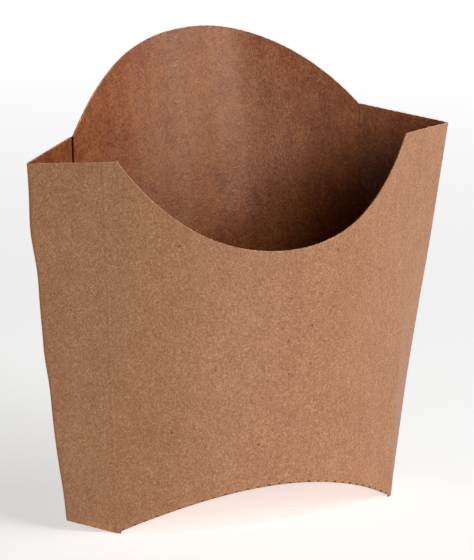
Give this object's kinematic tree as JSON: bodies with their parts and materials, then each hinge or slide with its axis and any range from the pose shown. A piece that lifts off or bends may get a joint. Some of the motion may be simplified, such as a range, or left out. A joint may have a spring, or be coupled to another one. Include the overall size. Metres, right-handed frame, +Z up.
{
  "type": "empty french fry scoop carton",
  "caption": "Empty brown kraft card scoop carton for french fries: scooped front with ears, folded sides, domed back panel and vaulted bottom, in one folded sheet.",
  "frame": {"origin": "on the ground under the middle of the carton's box", "axes": "+Z up, +X to the right along the width, the scooped front faces -Y and the domed back is at +Y"},
  "size_m": [0.124, 0.0544, 0.124],
  "materials": {
    "kraft_card": "uncoated brown kraft card, matte, with fine fibres"
  },
  "bodies": {
    "root": {"carton": "kraft_card"}
  },
  "joints": []
}
